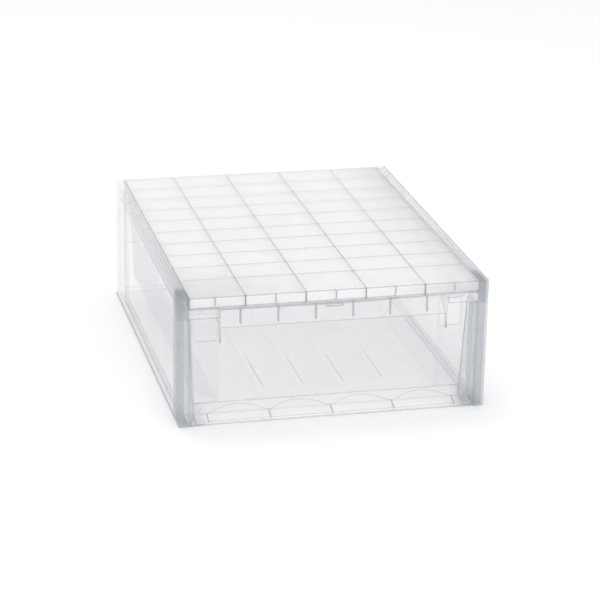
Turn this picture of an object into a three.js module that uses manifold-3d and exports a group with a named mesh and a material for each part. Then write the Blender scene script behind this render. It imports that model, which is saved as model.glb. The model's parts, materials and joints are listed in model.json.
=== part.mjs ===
// A stackable clear storage drawer unit: a housing of two side frames with clear panes, a ribbed
// top, a base, a back and two corner brackets, and one sliding drawer with a dished front.
// Millimetres, +Z up, the drawer slides out towards -Y. The origin is on the ground, under the
// middle of the housing. Shapes are drawn with y counted back from the front plane.
import * as THREE from 'three';
import { ConvexGeometry } from 'three/addons/geometries/ConvexGeometry.js';
import { mergeVertices } from 'three/addons/utils/BufferGeometryUtils.js';
import Module from 'manifold-3d';

const wasm = await Module();
wasm.setup();

// Driving dimensions of the whole unit
const WIDTH = 396;
const DEPTH = 500;
const HEIGHT = 171;
const WALL = 2.4;
const FIT = 0.3; // gap between neighbouring pieces

// Side frames
const RAIL = 12.6; // thickness of a side frame, seen from the front
const FRONT_POST = 39;
const BACK_POST = 38;
const TOP_BAND = 16;
const BOTTOM_BAND = 3.4;
const PANE_SETBACK = 6;
const PANE_THICKNESS = 2;
const PANE_GROOVE = 1.4;
const POST_FOOT = 3; // solid foot under the hollow of a post

// Top panel
const BAY = WIDTH / 2 - RAIL; // half the clear width between the side frames
const TOP_HALF = BAY - FIT;
const TOP_SKIN = 2.2;
const TOP_DROP = 0.5; // how far the skin lies below the rails
const FASCIA_HEIGHT = 16;
const FASCIA_RADIUS = 3.5;
const FASCIA_RETURN = 8;
const RIB_BOTTOM = 156;
const COLUMN_PITCH = 76.6;
const ROW_PITCH = 48;
const FIRST_ROW = 65.8;
const COLUMN_RIB = 1.8;
const ROW_RIB = 1.4;
const FASCIA_RIB_LENGTH = 20;

// Corner brackets
const BRACKET_REACH = 147; // inner end of a bracket's arm, from the middle
const BRACKET_BOTTOM = 141.6;
const BRACKET_RETURN = 30;

// Drawer
const PANEL_SETBACK = 32.3; // recessed drawer panel behind the front plane
const DRAWER_WALL = 2.2;
const FLOOR_TOP = 19;
const FLOOR_HALF = 140;
const RAMP_TOP = 34;
const DRAFT = 0.0541; // sideways lean of the drawer walls per millimetre of height
const INNER_HALF_AT_FLOOR = 173.4;
const TRAY_TOP = 141.2;
const TRAY_BACK_LOW = 470;
const TRAY_BACK_HIGH = 480;
const RIM_HALF = 184.8;
const SKID_BOTTOM = 2.9;
const SKID_WIDTH = 1.6;
const SKID_FRONT = 92;
const SKID_BACK = 440;
const SKID_PITCH = 53;
const LUG_START = 396; // front face of the stop lugs, which meet the corner brackets
const LUG_LENGTH = 8;
const LUG_TOP = 150;
const WINDOW = { inner: 144.6, outer: 173.5, bottom: 100.5, top: 137, radius: 5 };

// Drawer pull
const PULL_HALF = 146.7;
const PULL_FRONT = 4;
const PULL_BOTTOM = 127.5;
const PULL_TOP = 153.7;
const GUSSET_FRONT_TIP = [5.5, 107]; // y and z of the gusset's lowest point
const GUSSET_KNEE = [12, PULL_BOTTOM + 1];
const GUSSET_REAR = 139;
const PULL_RIB_PITCH = 47.9;
const PULL_RIB_BOTTOM = 132;
const PULL_RIB = 1.6;
const CATCH_HEIGHT = 148.8;
const PULL_RIB_DEPTH = 3.5;

// Sill scallops
const SCALLOP_PITCH = 80;
const SCALLOP_COUNT = 4;
const SCALLOP_DEPTH = 1.1;
const SCALLOP_SPRING = 14.5;
const SCALLOP_CROWN = 27.5;
const SCALLOP_FRONT = 3.7;

// Corners are rounded to a thousandth, so that faces meant to lie in one plane really do
function plainSolid(geometry) {
  geometry.deleteAttribute('normal');
  geometry.deleteAttribute('uv');
  const merged = mergeVertices(geometry, 1e-4);
  const mesh = new wasm.Mesh({
    numProp: 3,
    vertProperties: merged.attributes.position.array.map((value) => Math.round(value * 1e3) / 1e3),
    triVerts: new Uint32Array(merged.index.array),
  });
  return new wasm.Manifold(mesh);
}

function geometryOf(solid) {
  const mesh = solid.getMesh();
  const geometry = new THREE.BufferGeometry();
  geometry.setAttribute('position', new THREE.BufferAttribute(mesh.vertProperties, 3));
  geometry.setIndex(new THREE.BufferAttribute(mesh.triVerts, 1));
  geometry.computeVertexNormals();
  return geometry;
}

// A rectangular block between two opposite corners, given in any order
function block(xa, xb, ya, yb, za, zb) {
  const geometry = new THREE.BoxGeometry(Math.abs(xb - xa), Math.abs(yb - ya), Math.abs(zb - za));
  geometry.translate((xa + xb) / 2, (ya + yb) / 2, (za + zb) / 2);
  return plainSolid(geometry);
}

// An outline in (y, z) drawn out along X
function barAlongX(shape, xa, xb) {
  const geometry = new THREE.ExtrudeGeometry(shape, {
    depth: Math.abs(xb - xa),
    bevelEnabled: false,
    curveSegments: 6,
  });
  const yAxis = new THREE.Vector3(0, 1, 0);
  const zAxis = new THREE.Vector3(0, 0, 1);
  const xAxis = new THREE.Vector3(1, 0, 0);
  geometry.applyMatrix4(new THREE.Matrix4().makeBasis(yAxis, zAxis, xAxis));
  geometry.translate(Math.min(xa, xb), 0, 0);
  return plainSolid(geometry);
}

// An outline in (x, z) drawn out along Y
function barAlongY(shape, ya, yb) {
  const geometry = new THREE.ExtrudeGeometry(shape, {
    depth: Math.abs(yb - ya),
    bevelEnabled: false,
    curveSegments: 6,
  });
  geometry.rotateX(Math.PI / 2);
  geometry.translate(0, Math.max(ya, yb), 0);
  return plainSolid(geometry);
}

// An outline in (x, y) drawn up along Z
function barAlongZ(shape, za, zb) {
  const geometry = new THREE.ExtrudeGeometry(shape, {
    depth: zb - za,
    bevelEnabled: false,
    curveSegments: 6,
  });
  geometry.translate(0, 0, za);
  return plainSolid(geometry);
}

function outline(points) {
  return new THREE.Shape(points.map(([u, v]) => new THREE.Vector2(u, v)));
}

function hull(points) {
  return plainSolid(new ConvexGeometry(points.map(([x, y, z]) => new THREE.Vector3(x, y, z))));
}

function joined(solids) {
  return solids.reduce((whole, next) => whole.add(next));
}

function sideFrame(side) {
  const across = (t) => side * (WIDTH / 2 - t);
  const windowBack = DEPTH - BACK_POST;
  const windowTop = HEIGHT - TOP_BAND;
  const roof = HEIGHT - WALL;
  const window = block(across(-1), across(RAIL + 1), FRONT_POST, windowBack, BOTTOM_BAND, windowTop);
  const frontHollow = block(
    across(WALL), across(RAIL + 1), WALL, FRONT_POST - WALL, POST_FOOT, roof);
  const backHollow = block(
    across(WALL), across(RAIL + 1), windowBack + WALL, DEPTH - WALL, POST_FOOT, roof);
  const railHollow = block(
    across(WALL), across(RAIL - WALL), FRONT_POST, windowBack, windowTop - 1, roof);
  const groove = block(
    across(PANE_SETBACK - FIT), across(PANE_SETBACK + PANE_THICKNESS + FIT),
    FRONT_POST, windowBack, BOTTOM_BAND - PANE_GROOVE, BOTTOM_BAND + 1);
  return block(across(0), across(RAIL), 0, DEPTH, 0, HEIGHT)
    .subtract(window)
    .subtract(frontHollow)
    .subtract(backHollow)
    .subtract(railHollow)
    .subtract(groove);
}

function sidePane(side) {
  const across = (t) => side * (WIDTH / 2 - t);
  return block(
    across(PANE_SETBACK), across(PANE_SETBACK + PANE_THICKNESS),
    FRONT_POST + FIT, DEPTH - BACK_POST - FIT,
    BOTTOM_BAND - PANE_GROOVE + FIT, HEIGHT - WALL - 5);
}

function fascia() {
  const top = HEIGHT - TOP_DROP;
  const low = top - FASCIA_HEIGHT;
  const shape = new THREE.Shape();
  shape.moveTo(0, top);
  shape.lineTo(0, low + FASCIA_RADIUS);
  shape.absarc(FASCIA_RADIUS, low + FASCIA_RADIUS, FASCIA_RADIUS, Math.PI, 1.5 * Math.PI, false);
  shape.lineTo(FASCIA_RETURN, low);
  shape.lineTo(FASCIA_RETURN, low + TOP_SKIN);
  shape.lineTo(FASCIA_RADIUS, low + TOP_SKIN);
  shape.absarc(
    FASCIA_RADIUS, low + FASCIA_RADIUS, FASCIA_RADIUS - TOP_SKIN, 1.5 * Math.PI, Math.PI, true);
  shape.lineTo(TOP_SKIN, top);
  return barAlongX(shape, -TOP_HALF, TOP_HALF);
}

function topPanel() {
  const top = HEIGHT - TOP_DROP;
  const underSkin = top - TOP_SKIN;
  const insideFascia = TOP_SKIN / 2;
  const parts = [
    block(-TOP_HALF, TOP_HALF, 0, DEPTH, underSkin, top),
    fascia(),
    block(-TOP_HALF + 1, TOP_HALF - 1, DEPTH - TOP_SKIN, DEPTH, RIB_BOTTOM + 1, top - 1),
  ];
  for (const side of [-1, 1]) {
    parts.push(block(
      side * (TOP_HALF - TOP_SKIN), side * TOP_HALF, insideFascia, DEPTH, RIB_BOTTOM + 0.3,
      top - 1));
    for (const step of [0.5, 1.5]) {
      const x = side * step * COLUMN_PITCH;
      parts.push(block(
        x - COLUMN_RIB / 2, x + COLUMN_RIB / 2, insideFascia, DEPTH - 1, RIB_BOTTOM, top - 1));
    }
  }
  for (const step of [-2, -1, 0, 1, 2]) {
    const x = step * COLUMN_PITCH;
    parts.push(block(
      x - ROW_RIB / 2, x + ROW_RIB / 2, insideFascia, FASCIA_RIB_LENGTH, RIB_BOTTOM, top - 1));
  }
  for (let y = FIRST_ROW; y < DEPTH - ROW_PITCH / 2; y += ROW_PITCH) {
    parts.push(block(
      -TOP_HALF + 1, TOP_HALF - 1, y - ROW_RIB / 2, y + ROW_RIB / 2, RIB_BOTTOM + 1, top - 1));
  }
  return joined(parts);
}

function basePanel() {
  const front = PANEL_SETBACK + 4;
  const back = DEPTH - 9 - FIT;
  return joined([
    block(-TOP_HALF, TOP_HALF, front, back, 0, WALL),
    block(-TOP_HALF, TOP_HALF, back - WALL, back, 0, 12),
  ]);
}

function backPanel() {
  const front = DEPTH - 9;
  const top = RIB_BOTTOM - 2;
  const half = TOP_HALF;
  const plate = block(-half, half, front, DEPTH, 0, top)
    .subtract(block(-half + WALL, half - WALL, front + WALL, DEPTH + 1, WALL, top - WALL));
  const ribs = [-1.5, -0.5, 0.5, 1.5].map((step) => block(
    step * COLUMN_PITCH - ROW_RIB / 2, step * COLUMN_PITCH + ROW_RIB / 2,
    front + 1, DEPTH - 1, 1, top - 1));
  const middle = block(-half + 1, half - 1, front + 1, DEPTH - 1, top / 2, top / 2 + ROW_RIB);
  return joined([plate, ...ribs, middle]);
}

function cornerBracket(side) {
  const front = WALL + FIT;
  const outer = WIDTH / 2 - WALL - FIT;
  const arm = block(
    side * BRACKET_REACH, side * outer, front, front + WALL, BRACKET_BOTTOM, RIB_BOTTOM - 1.8);
  const leg = block(
    side * (BAY + FIT), side * outer, front, front + WALL, BRACKET_BOTTOM, HEIGHT - WALL - FIT);
  const cheek = block(
    side * (outer - WALL), side * outer, front, BRACKET_RETURN, BRACKET_BOTTOM,
    HEIGHT - WALL - FIT);
  return joined([arm, leg, cheek]);
}

// Half the inner width of the drawer at a height
function innerHalf(z) {
  return INNER_HALF_AT_FLOOR + DRAFT * (z - FLOOR_TOP);
}

// Corner points of the drawer's hollow (grow = 0) or of its outside (grow = its wall), up to topZ
function trayPoints(frontY, grow, topZ) {
  const rearAt = (z) => TRAY_BACK_LOW + (TRAY_BACK_HIGH - TRAY_BACK_LOW) * (z / TRAY_TOP) + grow;
  const section = [
    [FLOOR_HALF, FLOOR_TOP - grow],
    [innerHalf(RAMP_TOP) + grow, RAMP_TOP - grow / 2],
    [innerHalf(topZ) + grow, topZ],
  ];
  return section.flatMap(([half, z]) => [
    [-half, frontY, z],
    [half, frontY, z],
    [-half, rearAt(z), z],
    [half, rearAt(z), z],
  ]);
}

function trayWindow(side) {
  const { inner, outer, bottom, top, radius } = WINDOW;
  const shape = new THREE.Shape();
  shape.moveTo(side * inner, bottom);
  shape.lineTo(side * inner, top);
  shape.lineTo(side * outer, top);
  shape.lineTo(side * outer, bottom + radius);
  shape.quadraticCurveTo(side * outer, bottom, side * (outer - radius), bottom);
  return barAlongY(shape, PANEL_SETBACK - 1, PANEL_SETBACK + DRAWER_WALL + 1);
}

function drawerTray() {
  const inside = PANEL_SETBACK + DRAWER_WALL;
  const shell = hull(trayPoints(PANEL_SETBACK, DRAWER_WALL, TRAY_TOP))
    .subtract(hull(trayPoints(inside, 0, TRAY_TOP + 10)));
  const rimLow = TRAY_TOP - DRAWER_WALL;
  const frontPlate = [PANEL_SETBACK, inside].flatMap((y) => [FLOOR_TOP - DRAWER_WALL, TRAY_TOP]
    .flatMap((z) => [-1, 1].map((side) => [side * (innerHalf(z) + DRAWER_WALL), y, z])));
  const parts = [
    hull(frontPlate),
    block(-PULL_HALF, PULL_HALF, PANEL_SETBACK, inside, TRAY_TOP - 1, PULL_TOP - WALL - FIT),
    block(-RIM_HALF, RIM_HALF, TRAY_BACK_HIGH, TRAY_BACK_HIGH + 5, rimLow, TRAY_TOP),
  ];
  for (const side of [-1, 1]) {
    const wallTop = innerHalf(TRAY_TOP) + 0.2;
    parts.push(block(side * wallTop, side * RIM_HALF, PANEL_SETBACK, TRAY_BACK_HIGH + 5,
      rimLow, TRAY_TOP));
    parts.push(block(side * wallTop, side * (RIM_HALF - 0.3), LUG_START, LUG_START + LUG_LENGTH,
      rimLow, LUG_TOP));
    for (const step of [0.5, 1.5]) {
      const x = side * step * SKID_PITCH;
      parts.push(block(x - SKID_WIDTH / 2, x + SKID_WIDTH / 2, SKID_FRONT, SKID_BACK,
        SKID_BOTTOM, FLOOR_TOP - DRAWER_WALL / 2));
    }
  }
  return joined([shell, ...parts])
    .subtract(trayWindow(-1))
    .subtract(trayWindow(1));
}

// A plate that leans back from the seam beside the post to the edge of the recessed panel
function bezelCheek(side) {
  const rear = PANEL_SETBACK - FIT;
  const seam = BAY - FIT;
  const at = (z) => [
    [side * seam, 0, z],
    [side * (seam - DRAWER_WALL), 0, z],
    [side * (innerHalf(z) + DRAWER_WALL), rear, z],
    [side * innerHalf(z), rear, z],
  ];
  return hull([...at(1), ...at(TRAY_TOP)]);
}

// The sloping sill below the recessed panel; lift raises it above its own lower face
function sillSlab(lowLift, highLift) {
  const rear = PANEL_SETBACK - FIT;
  const seam = BAY - FIT;
  const rearHalf = innerHalf(FLOOR_TOP) + 1;
  const corners = [];
  for (const lift of [lowLift, highLift]) {
    for (const side of [-1, 1]) {
      corners.push([side * seam, 0, 1 + lift]);
      corners.push([side * rearHalf, rear, FLOOR_TOP - DRAWER_WALL + lift]);
    }
  }
  return hull(corners);
}

function scallopCut(middle) {
  const half = SCALLOP_PITCH / 2 - 1;
  const shape = new THREE.Shape();
  shape.moveTo(middle - half, SCALLOP_FRONT);
  shape.lineTo(middle + half, SCALLOP_FRONT);
  shape.lineTo(middle + half, SCALLOP_SPRING);
  const crown = 2 * SCALLOP_CROWN - SCALLOP_SPRING;
  shape.quadraticCurveTo(middle, crown, middle - half, SCALLOP_SPRING);
  return barAlongZ(shape, -5, 40);
}

function drawerBezel() {
  const skin = sillSlab(0, DRAWER_WALL);
  const upperLayer = sillSlab(DRAWER_WALL - SCALLOP_DEPTH, DRAWER_WALL + 5);
  let sill = skin;
  for (let bay = 0; bay < SCALLOP_COUNT; bay += 1) {
    const middle = (bay - (SCALLOP_COUNT - 1) / 2) * SCALLOP_PITCH;
    sill = sill.subtract(scallopCut(middle).intersect(upperLayer));
  }
  const endRibs = [-1, 1].map((side) => {
    const x = side * (INNER_HALF_AT_FLOOR + 1.5);
    const slope = outline([[1, 1], [PANEL_SETBACK - FIT, 1],
      [PANEL_SETBACK - FIT, FLOOR_TOP - DRAWER_WALL / 2], [1, 1.8]]);
    return barAlongX(slope, x - 0.8, x + 0.8);
  });
  return joined([sill, bezelCheek(-1), bezelCheek(1), ...endRibs]);
}

function drawerPull() {
  const rear = PANEL_SETBACK - FIT;
  const lip = block(
    -PULL_HALF, PULL_HALF, PULL_FRONT, PULL_FRONT + WALL, PULL_BOTTOM, PULL_TOP);
  const ledge = block(
    -PULL_HALF, PULL_HALF, PULL_FRONT, PANEL_SETBACK + 4, PULL_TOP - WALL, PULL_TOP);
  const parts = [lip, ledge];
  for (const side of [-1, 1]) {
    const gusset = outline([
      [PULL_FRONT, PULL_TOP], [PULL_FRONT, PULL_BOTTOM - 12], GUSSET_FRONT_TIP, GUSSET_KNEE,
      [rear, GUSSET_REAR], [rear, PULL_TOP]]);
    parts.push(barAlongX(gusset, side * (PULL_HALF - WALL), side * PULL_HALF));
    for (const step of [0.5, 1.5, 2.5]) {
      const x = side * step * PULL_RIB_PITCH;
      parts.push(block(x - PULL_RIB / 2, x + PULL_RIB / 2, PULL_FRONT + 1,
        PULL_FRONT + WALL + PULL_RIB_DEPTH, PULL_RIB_BOTTOM, PULL_TOP - 1));
    }
  }
  const slot = block(-10, 10, PULL_FRONT - 1, PULL_FRONT + WALL + 1,
    CATCH_HEIGHT - 1, CATCH_HEIGHT + 1);
  return joined(parts).subtract(slot);
}

function drawerCatch() {
  return joined([
    block(-9.7, 9.7, PULL_FRONT - 0.5, PULL_FRONT + WALL + 2,
      CATCH_HEIGHT - 0.7, CATCH_HEIGHT + 0.7),
    block(-12, 12, PULL_FRONT + WALL + FIT, PULL_FRONT + WALL + 2,
      CATCH_HEIGHT - 3, CATCH_HEIGHT + 2.2),
  ]);
}

function material(color, roughness) {
  return new THREE.MeshStandardMaterial({ color, roughness, metalness: 0 });
}

function piece(name, solid, finish) {
  const mesh = new THREE.Mesh(geometryOf(solid), finish);
  mesh.name = name;
  return mesh;
}

const frameTint = 0xc3ccd0;
const clearTint = 0xf0f3f4;
const frostTint = 0xe6eaec;

const housing = new THREE.Group();
for (const [word, side] of [['left', -1], ['right', 1]]) {
  housing.add(
    piece(`${word}_side_frame`, sideFrame(side), material(frameTint, 0.28)),
    piece(`${word}_side_pane`, sidePane(side), material(clearTint, 0.12)),
    piece(`${word}_corner_bracket`, cornerBracket(side), material(frameTint, 0.3)),
  );
}
housing.add(
  piece('top_panel', topPanel(), material(frostTint, 0.4)),
  piece('base_panel', basePanel(), material(frostTint, 0.4)),
  piece('back_panel', backPanel(), material(clearTint, 0.3)),
);

const drawer = new THREE.Group();
drawer.add(
  piece('drawer_tray', drawerTray(), material(clearTint, 0.15)),
  piece('drawer_bezel', drawerBezel(), material(clearTint, 0.2)),
  piece('drawer_pull', drawerPull(), material(frostTint, 0.3)),
  piece('drawer_catch', drawerCatch(), material(frameTint, 0.35)),
);

const group = new THREE.Group();
group.position.y = -DEPTH / 2;
group.add(housing, drawer);
group.updateMatrixWorld(true);

export default group;
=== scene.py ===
import bpy
import bmesh
import json
import math
from mathutils import Matrix, Vector


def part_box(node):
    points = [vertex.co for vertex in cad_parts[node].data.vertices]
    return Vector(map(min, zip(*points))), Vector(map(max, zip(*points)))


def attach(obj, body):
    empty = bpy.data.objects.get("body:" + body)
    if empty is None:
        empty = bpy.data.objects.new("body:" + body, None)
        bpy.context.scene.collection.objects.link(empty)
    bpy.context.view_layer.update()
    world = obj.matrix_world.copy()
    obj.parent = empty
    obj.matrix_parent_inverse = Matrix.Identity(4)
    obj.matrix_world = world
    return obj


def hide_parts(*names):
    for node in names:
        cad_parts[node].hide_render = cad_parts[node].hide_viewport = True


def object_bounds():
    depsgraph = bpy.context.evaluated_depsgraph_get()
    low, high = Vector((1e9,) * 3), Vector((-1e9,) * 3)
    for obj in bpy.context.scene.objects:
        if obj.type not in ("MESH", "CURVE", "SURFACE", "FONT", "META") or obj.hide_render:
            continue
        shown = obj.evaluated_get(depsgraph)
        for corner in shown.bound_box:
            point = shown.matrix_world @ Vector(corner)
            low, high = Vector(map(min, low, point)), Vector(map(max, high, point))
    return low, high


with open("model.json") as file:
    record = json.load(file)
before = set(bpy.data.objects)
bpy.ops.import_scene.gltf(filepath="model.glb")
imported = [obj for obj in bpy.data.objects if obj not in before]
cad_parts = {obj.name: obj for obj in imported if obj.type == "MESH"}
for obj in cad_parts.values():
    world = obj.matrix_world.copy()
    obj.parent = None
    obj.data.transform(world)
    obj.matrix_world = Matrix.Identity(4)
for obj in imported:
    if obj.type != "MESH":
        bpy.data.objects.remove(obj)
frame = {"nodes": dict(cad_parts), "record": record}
cadLow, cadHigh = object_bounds()
mm = 0.001
scene = bpy.context.scene
print("frame loaded, box in mm:", [round((b - a) / mm, 1) for a, b in zip(cadLow, cadHigh)])


cameraSetup = {
    "place": (-0.6725, -2.8288, 1.1342),
    "azimuth": -13.650,
    "elevation": 20.160,
    "roll": 1.150,
    "lens": 137.28,
    "sensor": 36.0,
}


def makeCamera(setup):
    azimuth = math.radians(setup["azimuth"])
    elevation = math.radians(setup["elevation"])
    roll = math.radians(setup["roll"])
    back = Vector((
        math.sin(azimuth) * math.cos(elevation),
        -math.cos(azimuth) * math.cos(elevation),
        math.sin(elevation)))
    level = Vector((math.cos(azimuth), math.sin(azimuth), 0))
    upright = back.cross(level)
    right = level * math.cos(roll) + upright * math.sin(roll)
    up = upright * math.cos(roll) - level * math.sin(roll)
    data = bpy.data.cameras.new("studioCamera")
    data.lens = setup["lens"]
    data.sensor_width = setup["sensor"]
    data.clip_end = 50
    camera = bpy.data.objects.new("studioCamera", data)
    scene.collection.objects.link(camera)
    turn = Matrix((right, up, back)).transposed()
    camera.matrix_world = Matrix.Translation(setup["place"]) @ turn.to_4x4()
    scene.camera = camera


makeCamera(cameraSetup)


def nodeOf(tree, kind, place=(0, 0), **values):
    node = tree.nodes.new(kind)
    node.location = place
    for name, value in values.items():
        setattr(node, name, value)
    return node


def noiseOf(tree, vector, place, scale, detail):
    noise = nodeOf(tree, "ShaderNodeTexNoise", place)
    noise.inputs["Scale"].default_value = scale
    noise.inputs["Detail"].default_value = detail
    tree.links.new(vector, noise.inputs["Vector"])
    return noise.outputs["Fac"]


def rangeOf(tree, value, place, low, high):
    node = nodeOf(tree, "ShaderNodeMapRange", place)
    node.inputs["To Min"].default_value = low
    node.inputs["To Max"].default_value = high
    tree.links.new(value, node.inputs["Value"])
    return node.outputs["Result"]


# How strongly a point lies in the named zones: 0 outside them, up to 1 inside
def zoneShade(tree, coords, names):
    axes = nodeOf(tree, "ShaderNodeSeparateXYZ", (-1450, 900))
    tree.links.new(coords, axes.inputs["Vector"])
    total = None
    for row, name in enumerate(names):
        weight, ramps = zones[name]
        share = None
        for column, (axis, start, end) in enumerate(ramps):
            ramp = nodeOf(
                tree, "ShaderNodeMapRange", (-1200 + 200 * column, 900 + 250 * row),
                interpolation_type="SMOOTHSTEP")
            ramp.inputs["From Min"].default_value = start
            ramp.inputs["From Max"].default_value = end
            ramp.inputs["To Max"].default_value = weight if column == 0 else 1
            tree.links.new(axes.outputs[axis], ramp.inputs["Value"])
            share = combined(tree, "MULTIPLY", share, ramp.outputs["Result"])
        total = combined(tree, "ADD", total, share)
    return total


def combined(tree, operation, first, second):
    if first is None:
        return second
    node = nodeOf(tree, "ShaderNodeMath", (-600, 1000), operation=operation, use_clamp=True)
    tree.links.new(first, node.inputs[0])
    tree.links.new(second, node.inputs[1])
    return node.outputs["Value"]


def setTone(tree, socket, plain, zoned, shade):
    socket.default_value = (*plain, 1)
    if shade is None:
        return
    mix = nodeOf(tree, "ShaderNodeMix", (-550, 700), data_type="RGBA")
    mix.inputs[6].default_value = (*plain, 1)
    mix.inputs[7].default_value = (*zoned, 1)
    tree.links.new(shade, mix.inputs["Factor"])
    tree.links.new(mix.outputs[2], socket)


shaderSizes = {
    "index": 1.49,
    "grainDepth": 0.3 * mm,
    "roughnessSpread": (0.8, 1.25),
}


# A moulded wall lets most light straight through (tint) and scatters the rest (milk). It scatters
# more where it is seen at a slant, where the melt cooled unevenly (cloud) and along flow lines.
def clearPlastic(name, setup):
    material = bpy.data.materials.new(name)
    material.use_nodes = True
    tree = material.node_tree
    tree.nodes.clear()
    link = tree.links.new

    coords = nodeOf(tree, "ShaderNodeTexCoord", (-1650, 0))
    stretch = nodeOf(tree, "ShaderNodeMapping", (-1450, 300))
    stretch.inputs["Scale"].default_value = setup["flowStretch"]
    link(coords.outputs["Object"], stretch.inputs["Vector"])
    cloud = noiseOf(tree, coords.outputs["Object"], (-1150, 200), setup["cloudScale"], 3)
    flow = noiseOf(tree, stretch.outputs["Vector"], (-1150, 0), setup["flowScale"], 4)
    grain = noiseOf(tree, coords.outputs["Object"], (-1150, -250), setup["grainScale"], 2)

    slant = nodeOf(tree, "ShaderNodeLayerWeight", (-1150, 500))
    slant.inputs["Blend"].default_value = setup["slantBlend"]
    slantShare = rangeOf(
        tree, slant.outputs["Facing"], (-900, 500), setup["opacity"], setup["slantOpacity"])
    cloudShare = rangeOf(tree, cloud, (-900, 250), -setup["cloud"], setup["cloud"])
    flowShare = rangeOf(tree, flow, (-900, 0), -setup["flow"], setup["flow"])
    uneven = nodeOf(tree, "ShaderNodeMath", (-700, 150), operation="ADD")
    link(cloudShare, uneven.inputs[0])
    link(flowShare, uneven.inputs[1])
    opacity = nodeOf(tree, "ShaderNodeMath", (-500, 400), operation="ADD", use_clamp=True)
    link(slantShare, opacity.inputs[0])
    link(uneven.outputs["Value"], opacity.inputs[1])
    share = opacity.outputs["Value"]
    shade = None
    if "zones" in setup:
        shade = zoneShade(tree, coords.outputs["Object"], setup["zones"])
        denser = nodeOf(tree, "ShaderNodeMath", (-450, 600), operation="MULTIPLY_ADD",
                        use_clamp=True)
        denser.inputs[1].default_value = setup["zoneOpacity"]
        link(shade, denser.inputs[0])
        link(share, denser.inputs[2])
        share = denser.outputs["Value"]
    zoneMilk = setup.get("zoneMilk", setup["milk"])

    bump = nodeOf(tree, "ShaderNodeBump", (-650, -250))
    bump.inputs["Strength"].default_value = setup["bump"]
    bump.inputs["Distance"].default_value = shaderSizes["grainDepth"]
    link(grain, bump.inputs["Height"])

    body = nodeOf(tree, "ShaderNodeBsdfPrincipled", (-350, 0))
    setTone(tree, body.inputs["Base Color"], setup["milk"], zoneMilk, shade)
    body.inputs["IOR"].default_value = shaderSizes["index"]
    body.inputs["Specular IOR Level"].default_value = setup["specular"]
    smoothest, roughest = [setup["roughness"] * part for part in shaderSizes["roughnessSpread"]]
    link(rangeOf(tree, cloud, (-650, 0), smoothest, roughest), body.inputs["Roughness"])
    link(bump.outputs["Normal"], body.inputs["Normal"])
    glow = nodeOf(tree, "ShaderNodeBsdfTranslucent", (-350, -500))
    setTone(tree, glow.inputs["Color"], setup["milk"], zoneMilk, shade)
    milky = nodeOf(tree, "ShaderNodeMixShader", (-50, -100))
    milky.inputs["Fac"].default_value = setup["glow"]
    link(body.outputs["BSDF"], milky.inputs[1])
    link(glow.outputs["BSDF"], milky.inputs[2])
    through = nodeOf(tree, "ShaderNodeBsdfTransparent", (-50, 200))
    zoneTint = setup.get("zoneTint", setup["tint"])
    setTone(tree, through.inputs["Color"], setup["tint"], zoneTint, shade)
    whole = nodeOf(tree, "ShaderNodeMixShader", (200, 100))
    link(share, whole.inputs["Fac"])
    link(through.outputs["BSDF"], whole.inputs[1])
    link(milky.outputs["Shader"], whole.inputs[2])
    out = nodeOf(tree, "ShaderNodeOutputMaterial", (450, 100))
    link(whole.outputs["Shader"], out.inputs["Surface"])
    return material


clearWall = {
    "tint": (0.998, 0.998, 0.999),
    "milk": (0.95, 0.951, 0.955),
    "opacity": 0.025,
    "slantOpacity": 0.13,
    "slantBlend": 0.25,
    "glow": 0.55,
    "roughness": 0.16,
    "specular": 0.5,
    "cloudScale": 14,
    "cloud": 0.02,
    "flowScale": 30,
    "flowStretch": (1, 1, 0.12),
    "flow": 0.02,
    "grainScale": 900,
    "bump": 0.06,
}
sheerWall = dict(
    clearWall, tint=(0.998, 0.998, 0.998), opacity=0.0, slantOpacity=0.03, cloud=0.005,
    flow=0.005)


# A ramp names an axis and runs from 0 at its first place to 1 at its second, both in mm
def across(start, end):
    return "X", start * mm, end * mm


def fromFront(start, end):
    return "Y", cadLow.y + start * mm, cadLow.y + end * mm


def aboveFloor(start, end):
    return "Z", cadLow.z + start * mm, cadLow.z + end * mm


def belowTop(start, end):
    return "Z", cadHigh.z - start * mm, cadHigh.z - end * mm


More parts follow.
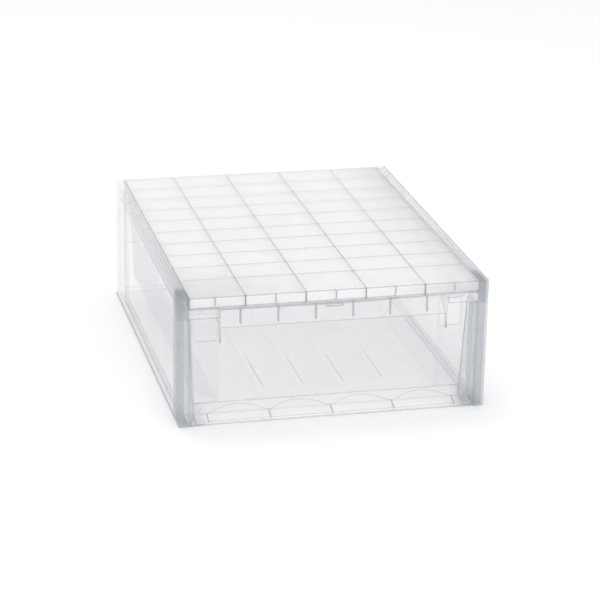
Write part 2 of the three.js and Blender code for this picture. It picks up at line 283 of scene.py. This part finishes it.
# A zone is a weight and ramps that multiply. In its zones a plastic takes its second tone.
postRamp = fromFront(46, 36)
# Painted contact shadow: these ramps darken the side frames' feet just above the floor
footShadowRamps = [aboveFloor(2.6, 1.4), fromFront(30, 50)]
behindPanel = fromFront(24, 30)
zones = {
    "posts": (0.7, [postRamp]),
    "postEdges": (0.75, [postRamp]),
    "rightPost": (0.05, [postRamp, across(0, 10)]),
    "postTops": (0.2, [fromFront(36, 24), belowTop(34, 24)]),
    # Painted shade: the frames' top rails and rail edges darken towards the front, and so do the
    # right rail's top and outer crest
    "topRailsPaintedShade": (0.22, [fromFront(330, 60), belowTop(18, 14)]),
    "railEdgesPaintedShade": (0.45, [belowTop(20, 16), fromFront(500, 0)]),
    "rightRailTopPaintedShade": (0.3, [belowTop(6, 3), across(0, 10)]),
    "rightCrestPaintedShade": (1.0, [belowTop(1.6, 0.8), across(193.5, 195.5)]),
    # Painted contact shadow at the outer feet of both side frames, stronger on the left
    "leftFootPaintedShadow": (1.0, footShadowRamps + [across(-195.6, -196.5)]),
    "rightFootPaintedShadow": (0.3, footShadowRamps + [across(195.6, 196.5)]),
    "leftCheek": (0.5, [across(-158, -170)]),
    "rightCheek": (0.65, [across(158, 170)]),
    # Painted contact shadow: the sill's bottom edge darkens just above the floor at the front
    "sillFootPaintedShadow": (1.0, [aboveFloor(2.4, 1.2), fromFront(8, 5)]),
    # Painted shade inside the tray: its left ramp, left wall and right wall behind the front panel
    # turn greyer
    "leftRampPaintedShade": (0.35, [across(-139, -143), behindPanel, aboveFloor(35, 33)]),
    "leftWallPaintedShade": (0.3, [across(-139, -143), behindPanel, aboveFloor(33, 35)]),
    "rightWallPaintedShade": (0.28, [across(139, 143), behindPanel]),
    "trayRear": (0.25, [fromFront(440, 468)]),
    "beadMiddles": (1.0, [fromFront(190, 140), fromFront(60, 80)]),
    # Painted shade: the frosted top darkens towards its front-left corner and towards its right
    # edge
    "topFrontLeftPaintedShade": (0.6, [fromFront(150, 0), across(0, -198)]),
    "topRightPaintedShade": (0.6, [across(108, 198)]),
    # Painted shade: the fascia darkens towards its right end
    "fasciaRightPaintedShade": (1.0, [across(50, 185)]),
    "ribNoses": (0.8, [fromFront(2, 1)]),
    "ribFronts": (0.28, [fromFront(440, 60)]),
    "farRows": (1.0, [fromFront(120, 460)]),
}

plastics = {
    "clear": dict(clearWall, slantOpacity=0.18),
    # Its zones paint shade on the tray's left ramp and its left and right walls
    "tray": dict(
        clearWall, slantOpacity=0.18, zones=["leftRampPaintedShade", "leftWallPaintedShade", "rightWallPaintedShade", "trayRear"],
        zoneTint=(0.94, 0.943, 0.951), zoneMilk=(0.66, 0.665, 0.675), zoneOpacity=0.10),
    "sheet": dict(
        clearWall, tint=(0.98, 0.982, 0.985), milk=(0.94, 0.942, 0.946), opacity=0.07,
        slantOpacity=0.18, flow=0.07, flowScale=90, flowStretch=(1, 1, 0.10)),
    "bezel": dict(
        clearWall, opacity=0.07, slantOpacity=0.28, zones=["leftCheek", "rightCheek"],
        zoneTint=(0.93, 0.936, 0.942), zoneMilk=(0.66, 0.67, 0.68), zoneOpacity=0.22),
    "sheer": sheerWall,
    "beadLine": dict(
        sheerWall, zones=["beadMiddles"], zoneTint=(0.95, 0.953, 0.958),
        zoneMilk=(0.70, 0.705, 0.713), zoneOpacity=0.14),
    # Painted shade in the smoke frame: its top rails, right rail top and right crest turn darker,
    # and its feet carry a painted contact shadow
    "smoke": dict(
        clearWall, tint=(0.988, 0.990, 0.992), milk=(0.86, 0.865, 0.872), opacity=0.08,
        slantOpacity=0.26, roughness=0.22,
        zones=["posts", "rightPost", "postTops", "topRailsPaintedShade", "rightRailTopPaintedShade", "leftFootPaintedShadow",
               "rightFootPaintedShadow", "rightCrestPaintedShade"],
        zoneTint=(0.90, 0.91, 0.922), zoneMilk=(0.55, 0.568, 0.585), zoneOpacity=0.26),
    # Its zones paint shade on the top towards the front-left and the right edge
    "frost": dict(
        clearWall, tint=(0.99, 0.991, 0.993), milk=(0.95, 0.952, 0.955), opacity=0.54,
        slantOpacity=0.80, roughness=0.38, flow=0.05, cloud=0.05, glow=0.4,
        zones=["topFrontLeftPaintedShade", "topRightPaintedShade"],
        zoneTint=(0.95, 0.952, 0.958), zoneMilk=(0.76, 0.765, 0.775), zoneOpacity=0.0),
    # Painted light: the top's front faces take their own tone of the frosted plastic, and its zone
    # paints shade towards the right end
    "fasciaPaintedLight": dict(
        clearWall, milk=(0.84, 0.842, 0.846), opacity=0.60, slantOpacity=0.8, roughness=0.3,
        glow=0.35, zones=["fasciaRightPaintedShade"],
        zoneTint=(0.90, 0.905, 0.915), zoneMilk=(0.66, 0.668, 0.68), zoneOpacity=0.1),
    "haze": dict(
        clearWall, tint=(0.99, 0.991, 0.994), milk=(0.87, 0.873, 0.88), opacity=0.26,
        slantOpacity=0.42, roughness=0.3),
    "rib": dict(
        clearWall, tint=(0.965, 0.967, 0.97), milk=(0.72, 0.725, 0.73), opacity=0.10,
        slantOpacity=0.35),
    "ribEdge": dict(
        clearWall, tint=(0.95, 0.952, 0.957), milk=(0.78, 0.784, 0.79), opacity=0.70,
        slantOpacity=0.9, specular=0.3, zones=["ribNoses", "ribFronts"],
        zoneTint=(0.70, 0.71, 0.725), zoneMilk=(0.40, 0.41, 0.425), zoneOpacity=0.1),
    "rowEdge": dict(
        clearWall, tint=(0.88, 0.884, 0.892), milk=(0.56, 0.567, 0.577), opacity=0.70,
        slantOpacity=0.9, specular=0.3, zones=["farRows"],
        zoneTint=(0.95, 0.952, 0.957), zoneMilk=(0.74, 0.744, 0.75), zoneOpacity=0.0),
    "pullRibEdge": dict(
        clearWall, tint=(0.86, 0.864, 0.872), milk=(0.60, 0.607, 0.617), opacity=0.45,
        slantOpacity=0.7, specular=0.2),
    # Its foot zone paints a contact shadow along the sill's bottom edge
    "sillRim": dict(
        clearWall, tint=(0.88, 0.884, 0.89), milk=(0.66, 0.665, 0.673), opacity=0.24,
        slantOpacity=0.4, specular=0.2, zones=["leftCheek", "rightCheek", "sillFootPaintedShadow"],
        zoneTint=(0.74, 0.748, 0.76), zoneMilk=(0.48, 0.488, 0.50), zoneOpacity=0.2),
    "faintRim": dict(
        clearWall, tint=(0.93, 0.932, 0.936), milk=(0.74, 0.744, 0.75), opacity=0.15,
        slantOpacity=0.30, specular=0.3),
    "softRim": dict(
        clearWall, tint=(0.80, 0.806, 0.815), milk=(0.56, 0.567, 0.58), opacity=0.34,
        slantOpacity=0.5, specular=0.2),
    # Painted shade on the frame's rims: rail edges and right crest turn darker, and the feet carry
    # a painted contact shadow
    "smokeRim": dict(
        clearWall, tint=(0.95, 0.952, 0.956), milk=(0.78, 0.784, 0.79), opacity=0.12,
        slantOpacity=0.26, specular=0.2,
        zones=["postEdges", "railEdgesPaintedShade", "leftFootPaintedShadow", "rightFootPaintedShadow", "rightCrestPaintedShade"],
        zoneTint=(0.72, 0.73, 0.745), zoneMilk=(0.42, 0.435, 0.452), zoneOpacity=0.34),
    "crest": dict(
        clearWall, tint=(0.88, 0.884, 0.89), milk=(0.60, 0.607, 0.617), opacity=0.50,
        slantOpacity=0.7, specular=0.3),
    "roll": dict(
        clearWall, tint=(0.91, 0.914, 0.922), milk=(0.70, 0.708, 0.72), opacity=0.32,
        slantOpacity=0.5, specular=0.2),
    "darkRim": dict(
        clearWall, tint=(0.82, 0.826, 0.838), milk=(0.56, 0.568, 0.582), opacity=0.40,
        slantOpacity=0.55, specular=0.15),
}
materials = {name: clearPlastic(name + "Plastic", setup) for name, setup in plastics.items()}
print("plastics made:", ", ".join(materials))


edgeRound = {
    "radius": 0.45 * mm,
    "segments": 2,
    "angle": math.radians(28),
    "narrow": 2.7 * mm,
}


# The narrow end faces of thin walls guide light away from the eye, so they look dark
def isNarrow(mesh, face):
    corners = [mesh.vertices[index].co for index in face.vertices]
    around = sum((corners[index] - corners[index - 1]).length for index in range(len(corners)))
    return 2 * face.area / around < edgeRound["narrow"]


def markNarrowFaces(mesh):
    for face in mesh.polygons:
        face.material_index = 1 if isNarrow(mesh, face) else 0


def linked(name, mesh, *finishes):
    mesh.materials.clear()
    for finish in finishes:
        mesh.materials.append(materials[finish])
    piece = bpy.data.objects.new(name, mesh)
    scene.collection.objects.link(piece)
    return piece


def roundEdges(piece):
    bevel = piece.modifiers.new("edgeRound", "BEVEL")
    bevel.width = edgeRound["radius"]
    bevel.segments = edgeRound["segments"]
    bevel.limit_method = "ANGLE"
    bevel.angle_limit = edgeRound["angle"]
    bevel.material = 1


def applyModifiers(piece):
    evaluated = piece.evaluated_get(bpy.context.evaluated_depsgraph_get())
    piece.data = bpy.data.meshes.new_from_object(evaluated)
    piece.modifiers.clear()


def settle(piece, node):
    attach(piece, bodyOfNode[node])
    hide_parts(node)
    print("made", piece.name, len(piece.data.polygons), "faces")


bodyOfNode = {
    node: body
    for body, members in frame["record"]["behaviour"]["bodies"].items()
    for node in members}


# Places that take another finish: their lowest and highest corner in mm, with x across, y from the
# front and z from the floor, then the finish, then whether only narrow faces take it
finishPatches = {
    "drawer_tray": [
        ((-90, 60, 0), (90, 470, 15), "sheer", False),
    ],
    "drawer_pull": [
        ((-12, 0, 146.5), (12, 12, 151), "faintRim", True),
    ],
}


def patchFinishes(mesh, node):
    frontFoot = Vector((0, cadLow.y, cadLow.z))
    for low, high, finish, narrowOnly in finishPatches.get(node, []):
        mesh.materials.append(materials[finish])
        lowest, highest = frontFoot + Vector(low) * mm, frontFoot + Vector(high) * mm
        for face in mesh.polygons:
            inside = all(lowest[i] < face.center[i] < highest[i] for i in range(3))
            if inside and (face.material_index == 1 or not narrowOnly):
                face.material_index = len(mesh.materials) - 1


cleaning = {
    "mergeDistance": 0.02 * mm,
    "flatAngle": math.radians(0.5),
}


def softened(node, face, rim):
    mesh = frame["nodes"][node].data.copy()
    work = bmesh.new()
    work.from_mesh(mesh)
    bmesh.ops.remove_doubles(work, verts=work.verts, dist=cleaning["mergeDistance"])
    bmesh.ops.dissolve_limit(
        work, angle_limit=cleaning["flatAngle"], verts=work.verts, edges=work.edges)
    work.to_mesh(mesh)
    work.free()
    piece = linked(node + "_moulding", mesh, face, rim)
    markNarrowFaces(mesh)
    patchFinishes(mesh, node)
    roundEdges(piece)
    applyModifiers(piece)
    settle(piece, node)


mouldings = {
    "left_side_frame": ("smoke", "smokeRim"),
    "right_side_frame": ("smoke", "smokeRim"),
    "left_corner_bracket": ("haze", "softRim"),
    "right_corner_bracket": ("haze", "softRim"),
    "left_side_pane": ("sheet", "faintRim"),
    "right_side_pane": ("sheet", "faintRim"),
    "base_panel": ("clear", "faintRim"),
    "back_panel": ("clear", "faintRim"),
    "drawer_tray": ("tray", "pullRibEdge"),
    "drawer_bezel": ("bezel", "sillRim"),
    "drawer_pull": ("haze", "darkRim"),
    "drawer_catch": ("clear", "faintRim"),
}
for nodeName, (faceName, rimName) in mouldings.items():
    softened(nodeName, faceName, rimName)


topLow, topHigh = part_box("top_panel")
topSizes = {
    "skin": 2.2 * mm,
    "fasciaRadius": 3.5 * mm,
    "return": 8 * mm,
    "crestRadius": 1.2 * mm,
    "arcSteps": 8,
    "rollDepth": 9 * mm,
    "rollHeight": 5 * mm,
    "flangeLift": 0.3 * mm,
    "columnCount": 4,
    "columnPitch": 76.6 * mm,
    "columnThickness": 1.8 * mm,
    "rowPitch": 48 * mm,
    "firstRow": 65.8 * mm,
    "rowCount": 9,
    "rowThickness": 1.4 * mm,
    "ribBottom": 156 * mm,
    "skinDrop": 0.06 * mm,
    "fasciaRibCount": 5,
    "fasciaRibLength": 20 * mm,
    "fasciaRibThickness": 1.2 * mm,
    "fasciaRibFoot": 5 * mm,
}


def arc(centre, radius, fromDegrees, toDegrees, steps):
    points = []
    for step in range(steps + 1):
        angle = math.radians(fromDegrees + (toDegrees - fromDegrees) * step / steps)
        points.append((
            centre[0] + radius * math.cos(angle), centre[1] + radius * math.sin(angle)))
    return points


def barAlongX(work, outline, low, high):
    ends = []
    for x in (low, high):
        ends.append([work.verts.new((x, y, z)) for y, z in outline])
    work.faces.new(ends[0])
    work.faces.new(list(reversed(ends[1])))
    count = len(outline)
    for index in range(count):
        after = (index + 1) % count
        work.faces.new((ends[0][after], ends[0][index], ends[1][index], ends[1][after]))


def boxInto(work, low, high):
    made = bmesh.ops.create_cube(work, size=1)["verts"]
    middle = (Vector(low) + Vector(high)) / 2
    size = Vector(high) - Vector(low)
    bmesh.ops.scale(work, verts=made, vec=size)
    bmesh.ops.translate(work, verts=made, vec=middle)


def makeTopSkin(sizes):
    skin = sizes["skin"]
    radius = sizes["fasciaRadius"]
    crest = sizes["crestRadius"]
    front, back = topLow.y + sizes["skinDrop"], topHigh.y
    low, top = topLow.z + sizes["skinDrop"], topHigh.z - sizes["skinDrop"]
    steps = sizes["arcSteps"]
    bend = (front + radius, low + radius)
    outline = [(back, top - skin), (back, top)]
    outline += arc((front + crest, top - crest), crest, 90, 180, steps)
    outline += arc(bend, radius, 180, 270, steps)
    outline += [(front + sizes["return"], low), (front + sizes["return"], low + skin)]
    outline += arc(bend, radius - skin, 270, 180, steps)
    outline += [(front + skin, top - skin)]
    work = bmesh.new()
    barAlongX(work, outline, topLow.x, topHigh.x)
    flangeLow = sizes["ribBottom"] + sizes["flangeLift"]
    for hand in (-1, 1):
        inner, outer = sorted((hand * topHigh.x, hand * (topHigh.x - skin)))
        boxInto(work, (inner, front + skin, flangeLow), (outer, back, top - skin))
    boxInto(
        work, (topLow.x + skin, back - skin, flangeLow), (topHigh.x - skin, back, top - skin))
    bmesh.ops.recalc_face_normals(work, faces=work.faces)
    mesh = bpy.data.meshes.new("top_skin")
    work.to_mesh(mesh)
    work.free()
    # Wide faces are frosted, or at the front take the fascia tone, a separate tone that paints how
    # the light falls on the front faces; narrow ones are roll or, away from it, crest
    piece = linked("top_skin", mesh, "frost", "roll", "fasciaPaintedLight", "crest")
    markNarrowFaces(mesh)
    for face in mesh.polygons:
        place = face.center
        facesFront = face.normal.y < -0.9 and place.y < front + mm
        inRoll = place.y < front + sizes["rollDepth"] and place.z < low + sizes["rollHeight"]
        if face.material_index == 0 and facesFront:
            face.material_index = 2
        elif face.material_index == 1 and not inRoll:
            face.material_index = 3
    settle(piece, "top_panel")


# Ribs in a straight row: copies of one rib, a step apart
def ribRowTree():
    tree = bpy.data.node_groups.new("ribRow", "GeometryNodeTree")
    socket = tree.interface.new_socket
    socket("Rib", in_out="INPUT", socket_type="NodeSocketObject")
    socket("Count", in_out="INPUT", socket_type="NodeSocketInt")
    socket("First", in_out="INPUT", socket_type="NodeSocketVector")
    socket("Step", in_out="INPUT", socket_type="NodeSocketVector")
    socket("Face Finish", in_out="INPUT", socket_type="NodeSocketMaterial")
    socket("Edge Finish", in_out="INPUT", socket_type="NodeSocketMaterial")
    socket("Geometry", in_out="OUTPUT", socket_type="NodeSocketGeometry")
    link = tree.links.new
    given = nodeOf(tree, "NodeGroupInput", (-800, 0))
    line = nodeOf(tree, "GeometryNodeMeshLine", (-500, 150), mode="OFFSET")
    rib = nodeOf(tree, "GeometryNodeObjectInfo", (-500, -150))
    spread = nodeOf(tree, "GeometryNodeInstanceOnPoints", (-250, 0))
    whole = nodeOf(tree, "GeometryNodeRealizeInstances", (0, 0))
    faces = nodeOf(tree, "GeometryNodeSetMaterial", (200, 0))
    narrow = nodeOf(tree, "GeometryNodeInputNamedAttribute", (200, 250), data_type="BOOLEAN")
    narrow.inputs["Name"].default_value = "narrow"
    edges = nodeOf(tree, "GeometryNodeSetMaterial", (400, 0))
    out = nodeOf(tree, "NodeGroupOutput", (600, 0))
    link(given.outputs["Count"], line.inputs["Count"])
    link(given.outputs["First"], line.inputs["Start Location"])
    link(given.outputs["Step"], line.inputs["Offset"])
    link(given.outputs["Rib"], rib.inputs["Object"])
    link(line.outputs["Mesh"], spread.inputs["Points"])
    link(rib.outputs["Geometry"], spread.inputs["Instance"])
    link(spread.outputs["Instances"], whole.inputs["Geometry"])
    link(whole.outputs["Geometry"], faces.inputs["Geometry"])
    link(given.outputs["Face Finish"], faces.inputs["Material"])
    link(faces.outputs["Geometry"], edges.inputs["Geometry"])
    link(narrow.outputs["Attribute"], edges.inputs["Selection"])
    link(given.outputs["Edge Finish"], edges.inputs["Material"])
    link(edges.outputs["Geometry"], out.inputs["Geometry"])
    return tree


ribRow = ribRowTree()


def oneRib(name, outline, thickness):
    work = bmesh.new()
    barAlongX(work, outline, -thickness / 2, thickness / 2)
    bmesh.ops.recalc_face_normals(work, faces=work.faces)
    mesh = bpy.data.meshes.new(name)
    work.to_mesh(mesh)
    work.free()
    narrow = mesh.attributes.new("narrow", "BOOLEAN", "FACE")
    for face in mesh.polygons:
        narrow.data[face.index].value = isNarrow(mesh, face)
    rib = bpy.data.objects.new(name, mesh)
    scene.collection.objects.link(rib)
    return rib


def makeRibRow(name, node, outline, thickness, count, first, step, face="rib", rim="ribEdge"):
    rib = oneRib(name + "_one", outline, thickness)
    piece = linked(name, bpy.data.meshes.new(name), face, rim)
    modifier = piece.modifiers.new("ribRow", "NODES")
    modifier.node_group = ribRow
    values = {
        "Rib": rib, "Count": count, "First": first, "Step": step,
        "Face Finish": materials[face], "Edge Finish": materials[rim]}
    for item in ribRow.interface.items_tree:
        if item.in_out == "INPUT":
            modifier[item.identifier] = values[item.name]
    applyModifiers(piece)
    bpy.data.objects.remove(rib)
    settle(piece, node)


# Where the first rib of a row lies, so that the row is centred across the object
def rowStart(count, pitch):
    return -(count - 1) / 2 * pitch, 0, 0


def makeTopRibs(sizes):
    skin = sizes["skin"]
    front, back = topLow.y, topHigh.y - skin
    low, ribLow, ribTop = topLow.z, sizes["ribBottom"], topHigh.z
    crest, radius = sizes["crestRadius"], sizes["fasciaRadius"]
    pitch = sizes["columnPitch"]
    nose = arc((front + crest, ribTop - crest), crest, 90, 180, sizes["arcSteps"])
    roll = arc((front + radius, low + radius), radius, 180, 270, sizes["arcSteps"])
    column = [(back, ribLow), (back, ribTop)] + nose + roll + [(front + radius, ribLow)]
    makeRibRow(
        "top_column_ribs", "top_panel", column, sizes["columnThickness"], sizes["columnCount"],
        rowStart(sizes["columnCount"], pitch), (pitch, 0, 0))
    shortBack = front + sizes["fasciaRibLength"]
    shortLow = low + sizes["fasciaRibFoot"]
    short = [
        (shortBack, ribTop - skin), (front + skin, ribTop - skin), (front, ribTop - crest),
        (front, shortLow), (front + skin, ribLow), (shortBack, ribLow)]
    makeRibRow(
        "top_fascia_ribs", "top_panel", short, sizes["fasciaRibThickness"],
        sizes["fasciaRibCount"], rowStart(sizes["fasciaRibCount"], pitch), (pitch, 0, 0))
    half = sizes["rowThickness"] / 2
    row = [(half, ribLow), (half, ribTop), (-half, ribTop), (-half, ribLow)]
    rowLength = topHigh.x - topLow.x - 1.5 * skin
    makeRibRow(
        "top_row_ribs", "top_panel", row, rowLength, sizes["rowCount"],
        (0, front + sizes["firstRow"], 0), (0, sizes["rowPitch"], 0), rim="rowEdge")


pullSizes = {
    "ribCount": 6,
    "ribPitch": 47.9 * mm,
    "ribTopDrop": 1 * mm,
    "ribThickness": 1.5 * mm,
    "ribBottom": 132 * mm,
    "ribDepth": 6 * mm,
    "proud": 0.05 * mm,
}


def makePullRibs(sizes):
    low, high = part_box("drawer_pull")
    face = low.y - sizes["proud"]
    rear = face + sizes["ribDepth"]
    ribTop, ribLow = high.z - sizes["ribTopDrop"], sizes["ribBottom"]
    outline = [(rear, ribTop), (face, ribTop), (face, ribLow), (rear, ribLow)]
    makeRibRow(
        "drawer_pull_ribs", "drawer_pull", outline, sizes["ribThickness"], sizes["ribCount"],
        rowStart(sizes["ribCount"], sizes["ribPitch"]), (sizes["ribPitch"], 0, 0),
        rim="pullRibEdge")


floorSizes = {
    "beadCount": 4,
    "beadFirst": -76 * mm,
    "beadPitch": 53 * mm,
    "beadWidth": 1.4 * mm,
    "beadHeight": 0.5 * mm,
    "beadRoot": 0.5 * mm,
    "beadFront": 58 * mm,
    "beadBack": 195 * mm,
    "floorTop": 19 * mm,
}


def makeFloorBeads(sizes):
    near, far = cadLow.y + sizes["beadFront"], cadLow.y + sizes["beadBack"]
    root, crest = sizes["floorTop"] - sizes["beadRoot"], sizes["floorTop"] + sizes["beadHeight"]
    outline = [(far, root), (far, crest), (near, crest), (near, root)]
    makeRibRow(
        "drawer_floor_beads", "drawer_tray", outline, sizes["beadWidth"], sizes["beadCount"],
        (sizes["beadFirst"], 0, 0), (sizes["beadPitch"], 0, 0), face="sheer", rim="beadLine")


sillSizes = {
    "tickCount": 5,
    "scallopPitch": 80 * mm,
    "tickWidth": 1.0 * mm,
    "tickDepth": 1.6 * mm,
    "tickLow": 3.4 * mm,
    "tickHigh": 9.6 * mm,
    "tickFront": 2.2 * mm,
    "slope": 0.45,
}


def makeSillTicks(sizes):
    low, high, depth = sizes["tickLow"], sizes["tickHigh"], sizes["tickDepth"]
    near = cadLow.y + sizes["tickFront"]
    far = near + (high - low) / sizes["slope"]
    outline = [(near, low), (near, low + depth), (far, high + depth), (far, high)]
    pitch = sizes["scallopPitch"]
    makeRibRow(
        "drawer_sill_ticks", "drawer_bezel", outline, sizes["tickWidth"], sizes["tickCount"],
        rowStart(sizes["tickCount"], pitch), (pitch, 0, 0), rim="pullRibEdge")


makePullRibs(pullSizes)
makeFloorBeads(floorSizes)
makeSillTicks(sillSizes)
makeTopSkin(topSizes)
makeTopRibs(topSizes)


studio = {
    "floorTone": 0.96,
    "floorRoughness": 0.8,
    "floorHalf": 12,
    "floorGap": 0.3 * mm,
    "worldLight": 0.925,
    "transparentBounces": 96,
    "bounces": 16,
    # Each lamp has its place, its aim, its size and its power
    "lamps": {
        "topLight": ((-0.3, 0.9, 2.5), (0, 0, 0), 1.2, 11),
        "frontLight": ((0.5, -2.8, 0.8), (0, 0, 0.1), 1.4, 29),
    },
}


def makeFloor(setup):
    mesh = bpy.data.meshes.new("studioFloor")
    work = bmesh.new()
    bmesh.ops.create_grid(work, x_segments=1, y_segments=1, size=setup["floorHalf"])
    bmesh.ops.translate(work, verts=work.verts, vec=(0, 0, cadLow.z - setup["floorGap"]))
    work.to_mesh(mesh)
    work.free()
    floor = bpy.data.objects.new("studioFloor", mesh)
    scene.collection.objects.link(floor)
    material = bpy.data.materials.new("paleFloor")
    material.use_nodes = True
    shader = material.node_tree.nodes["Principled BSDF"]
    shader.inputs["Base Color"].default_value = (*[setup["floorTone"]] * 3, 1)
    shader.inputs["Roughness"].default_value = setup["floorRoughness"]
    mesh.materials.append(material)


def makeWorld(brightness):
    world = bpy.data.worlds.new("softStudio")
    world.use_nodes = True
    background = world.node_tree.nodes["Background"]
    background.inputs["Color"].default_value = (1, 1, 1, 1)
    background.inputs["Strength"].default_value = brightness
    scene.world = world


def makeLamp(name, place, aim, size, power):
    data = bpy.data.lights.new(name, "AREA")
    data.size = size
    data.energy = power
    lamp = bpy.data.objects.new(name, data)
    scene.collection.objects.link(lamp)
    away = Vector(place) - Vector(aim)
    turn = away.to_track_quat("Z", "Y").to_matrix().to_4x4()
    lamp.matrix_world = Matrix.Translation(place) @ turn


makeFloor(studio)
makeWorld(studio["worldLight"])
for lampName, lampSetup in studio["lamps"].items():
    makeLamp(lampName, *lampSetup)
scene.view_settings.view_transform = "Standard"
scene.cycles.transparent_max_bounces = studio["transparentBounces"]
scene.cycles.max_bounces = studio["bounces"]
print("studio made")
